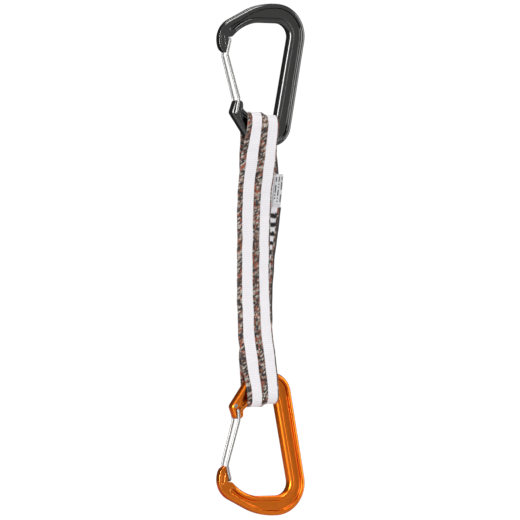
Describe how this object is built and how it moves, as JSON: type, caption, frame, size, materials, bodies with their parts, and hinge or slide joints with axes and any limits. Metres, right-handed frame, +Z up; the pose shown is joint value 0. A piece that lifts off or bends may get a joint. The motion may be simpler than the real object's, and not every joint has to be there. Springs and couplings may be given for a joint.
{
  "type": "climbing quickdraw",
  "caption": "Climbing quickdraw: wire-gate carabiners joined by a tape sling folded in three, with sprung gates and a sewn, labelled lap.",
  "frame": {"origin": "the point under the upper carabiner's top bar where a bolt hanger carries the quickdraw", "axes": "+Z up along the quickdraw, +X from the gates towards the spines, -Y the front face"},
  "size_m": [0.0668, 0.015, 0.3578],
  "materials": {
    "black_anodised": "anodised satin",
    "orange_anodised": "anodised satin",
    "stainless_wire": "drawn wire",
    "white_tape": "woven tape with flecked edges",
    "tack_thread": "zigzag stitching",
    "label_fabric": "woven label",
    "label_thread": "stitching"
  },
  "bodies": {
    "upper_carabiner": {"upper_carabiner_body": "black_anodised", "sling_upper_bights": "white_tape"},
    "upper_gate": {"upper_gate_wire": "stainless_wire"},
    "sling": {"sling_strands": "white_tape", "bar_tacks": "tack_thread", "label_sleeve": "label_fabric", "label_stitches": "label_thread"},
    "lower_carabiner": {"lower_carabiner_body": "orange_anodised", "sling_lower_bights": "white_tape"},
    "lower_gate": {"lower_gate_wire": "stainless_wire"}
  },
  "joints": [
    {"name": "upper_gate_hinge", "type": "hinge", "parent": "upper_carabiner", "child": "upper_gate", "pos_m": [-0.023, 0, -0.0635], "axis": [0, 1, 0], "range_deg": [0, 30], "stiffness_Nm_per_rad": 0.5, "springref_deg": -20.05},
    {"name": "sling_swing", "type": "hinge", "parent": "upper_carabiner", "child": "sling", "pos_m": [0, 0, -0.086], "axis": [1, 0, 0], "range_deg": [-60, 60]},
    {"name": "lower_carabiner_swing", "type": "hinge", "parent": "sling", "child": "lower_carabiner", "pos_m": [0, 0, -0.2444], "axis": [1, 0, 0], "range_deg": [-60, 60]},
    {"name": "lower_gate_hinge", "type": "hinge", "parent": "lower_carabiner", "child": "lower_gate", "pos_m": [-0.023, 0, -0.2669], "axis": [0, -1, 0], "range_deg": [0, 30], "stiffness_Nm_per_rad": 0.5, "springref_deg": -20.05}
  ]
}
